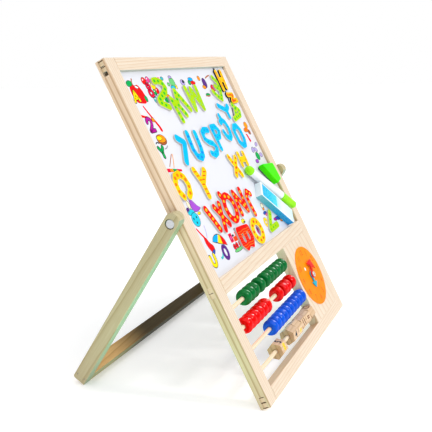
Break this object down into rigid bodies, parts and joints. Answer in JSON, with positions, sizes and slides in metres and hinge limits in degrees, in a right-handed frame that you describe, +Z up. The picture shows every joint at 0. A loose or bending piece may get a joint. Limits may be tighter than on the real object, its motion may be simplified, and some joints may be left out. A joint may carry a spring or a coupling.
{
  "type": "kids easel",
  "caption": "Leaning double-sided wooden desk easel with magnetic whiteboard, chalkboard back, bead abacus, number blocks, teaching clock and a swinging two-legged stand.",
  "frame": {"origin": "on the floor under the centre of the opened easel's bounding box", "axes": "+Z up, +X to the right of someone facing the whiteboard, -Y towards that person, who looks along +Y; the board leans back towards +Y and the stand is behind it"},
  "size_m": [0.3554, 0.2344, 0.3644],
  "materials": {
    "pine_frame": "satin, clear lacquer",
    "pine_leg": "satin, clear lacquer",
    "rod_wood": "satin",
    "whiteboard": "gloss white film on steel",
    "chalkboard": "matt black",
    "dial_orange": "printed board, satin",
    "hand_red": "gloss",
    "hand_blue": "gloss",
    "bead_green": "gloss paint on turned wood",
    "bead_red": "gloss paint on turned wood",
    "bead_blue": "gloss paint on turned wood",
    "block_wood": "satin",
    "steel": "zinc plated",
    "lime_foam": "soft magnet sheet",
    "cyan_foam": "soft magnet sheet",
    "yellow_foam": "soft magnet sheet",
    "red_foam": "soft magnet sheet",
    "marker_white": "gloss",
    "marker_lime": "gloss",
    "nib_felt": "felt",
    "eraser_green": "satin",
    "eraser_felt": "felt",
    "carton": "coated carton"
  },
  "bodies": {
    "board": {"left_stile": "pine_frame", "right_stile": "pine_frame", "top_rail": "pine_frame", "middle_rail": "pine_frame", "bottom_rail": "pine_frame", "clock_panel": "pine_frame", "whiteboard_panel": "whiteboard", "chalkboard_panel": "chalkboard", "rod_1": "rod_wood", "rod_2": "rod_wood", "rod_3": "rod_wood", "rod_4": "rod_wood", "clock_dial": "dial_orange", "clock_pin": "steel", "pivot_bolt_left": "steel", "pivot_bolt_right": "steel", "pivot_inserts": "steel", "pivot_washers": "steel"},
    "stand": {"left_leg": "pine_leg", "right_leg": "pine_leg", "cross_bar": "pine_leg", "cross_bar_nails": "steel"},
    "hour_hand": {"hour_hand": "hand_blue"},
    "minute_hand": {"minute_hand": "hand_red"},
    "green_beads_left": {"green_beads_left": "bead_green"},
    "green_bead_middle": {"green_bead_middle": "bead_green"},
    "green_beads_right": {"green_beads_right": "bead_green"},
    "red_beads_left": {"red_beads_left": "bead_red"},
    "red_bead_middle": {"red_bead_middle": "bead_red"},
    "red_beads_pair": {"red_beads_pair": "bead_red"},
    "red_bead_right": {"red_bead_right": "bead_red"},
    "blue_beads": {"blue_beads": "bead_blue"},
    "number_block_1": {"number_block_1": "block_wood"},
    "number_block_2": {"number_block_2": "block_wood"},
    "number_block_3": {"number_block_3": "block_wood"},
    "number_block_4": {"number_block_4": "block_wood"},
    "number_block_5": {"number_block_5": "block_wood"},
    "number_block_6": {"number_block_6": "block_wood"},
    "lime_magnets": {"lime_magnets_left": "lime_foam", "lime_magnets_right": "lime_foam", "lime_magnet_bottom": "lime_foam"},
    "cyan_magnets": {"cyan_magnets_left": "cyan_foam", "cyan_magnets_right": "cyan_foam"},
    "yellow_magnets": {"yellow_magnets_left": "yellow_foam", "yellow_magnets_middle": "yellow_foam", "yellow_magnet_ring": "yellow_foam", "yellow_magnets_right": "yellow_foam"},
    "red_magnets": {"red_magnets_left": "red_foam", "red_magnets_right": "red_foam", "red_magnet_block": "red_foam"},
    "eraser": {"eraser_grip": "eraser_green", "eraser_felt": "eraser_felt"},
    "chalk_carton": {"chalk_carton": "carton"},
    "marker": {"marker_barrel": "marker_white", "marker_nib": "nib_felt", "marker_end_plug": "marker_lime"},
    "marker_cap": {"marker_cap": "marker_lime"}
  },
  "joints": [
    {"name": "stand_swing", "type": "hinge", "parent": "board", "child": "stand", "pos_m": [0, -0.01586, 0.19722], "axis": [-1, 0, 0], "range_deg": [-30, 149]},
    {"name": "hour_turn", "type": "hinge", "parent": "board", "child": "hour_hand", "pos_m": [0.0967, -0.0883, 0.06925], "axis": [0, 0.8973, -0.4415], "continuous": true},
    {"name": "minute_turn", "type": "hinge", "parent": "board", "child": "minute_hand", "pos_m": [0.0967, -0.08982, 0.07], "axis": [0, 0.8973, -0.4415], "continuous": true},
    {"name": "green_beads_left_slide", "type": "slide", "parent": "board", "child": "green_beads_left", "axis": [1, 0, 0], "range_m": [-0.039, 0.0038]},
    {"name": "green_bead_middle_slide", "type": "slide", "parent": "board", "child": "green_bead_middle", "axis": [1, 0, 0], "range_m": [-0.0038, 0.0038]},
    {"name": "green_beads_right_slide", "type": "slide", "parent": "board", "child": "green_beads_right", "axis": [1, 0, 0], "range_m": [-0.0038, 0.0127]},
    {"name": "red_beads_left_slide", "type": "slide", "parent": "board", "child": "red_beads_left", "axis": [1, 0, 0], "range_m": [-0.0123, 0.016]},
    {"name": "red_bead_middle_slide", "type": "slide", "parent": "board", "child": "red_bead_middle", "axis": [1, 0, 0], "range_m": [-0.016, 0.0031]},
    {"name": "red_beads_pair_slide", "type": "slide", "parent": "board", "child": "red_beads_pair", "axis": [1, 0, 0], "range_m": [-0.0031, 0.0031]},
    {"name": "red_bead_right_slide", "type": "slide", "parent": "board", "child": "red_bead_right", "axis": [1, 0, 0], "range_m": [-0.0031, 0.0096]},
    {"name": "blue_beads_slide", "type": "slide", "parent": "board", "child": "blue_beads", "axis": [1, 0, 0], "range_m": [-0.067, 0]},
    {"name": "number_block_1_spin", "type": "hinge", "parent": "board", "child": "number_block_1", "pos_m": [-0.078, -0.0967, 0.03293], "axis": [1, 0, 0], "continuous": true},
    {"name": "number_block_2_spin", "type": "hinge", "parent": "board", "child": "number_block_2", "pos_m": [-0.0333, -0.0967, 0.03293], "axis": [1, 0, 0], "continuous": true},
    {"name": "number_block_3_spin", "type": "hinge", "parent": "board", "child": "number_block_3", "pos_m": [-0.0149, -0.0967, 0.03293], "axis": [1, 0, 0], "continuous": true},
    {"name": "number_block_4_spin", "type": "hinge", "parent": "board", "child": "number_block_4", "pos_m": [0.0035, -0.0967, 0.03293], "axis": [1, 0, 0], "continuous": true},
    {"name": "number_block_5_spin", "type": "hinge", "parent": "board", "child": "number_block_5", "pos_m": [0.0219, -0.0967, 0.03293], "axis": [1, 0, 0], "continuous": true},
    {"name": "number_block_6_spin", "type": "hinge", "parent": "board", "child": "number_block_6", "pos_m": [0.0403, -0.0967, 0.03293], "axis": [1, 0, 0], "continuous": true},
    {"name": "lime_magnets_lift", "type": "slide", "parent": "board", "child": "lime_magnets", "axis": [0, -0.8973, 0.4415], "range_m": [0, 0.04]},
    {"name": "cyan_magnets_lift", "type": "slide", "parent": "board", "child": "cyan_magnets", "axis": [0, -0.8973, 0.4415], "range_m": [0, 0.04]},
    {"name": "yellow_magnets_lift", "type": "slide", "parent": "board", "child": "yellow_magnets", "axis": [0, -0.8973, 0.4415], "range_m": [0, 0.04]},
    {"name": "red_magnets_lift", "type": "slide", "parent": "board", "child": "red_magnets", "axis": [0, -0.8973, 0.4415], "range_m": [0, 0.04]},
    {"name": "eraser_lift", "type": "slide", "parent": "board", "child": "eraser", "axis": [0, -0.8973, 0.4415], "range_m": [0, 0.06]},
    {"name": "chalk_carton_lift", "type": "slide", "parent": "board", "child": "chalk_carton", "axis": [0, -0.8973, 0.4415], "range_m": [0, 0.06]},
    {"name": "marker_lift", "type": "slide", "parent": "board", "child": "marker", "axis": [0, -0.8973, 0.4415], "range_m": [0, 0.06]},
    {"name": "marker_cap_pull", "type": "slide", "parent": "marker", "child": "marker_cap", "axis": [0.7539, -0.3301, -0.568], "range_m": [0, 0.03]}
  ]
}
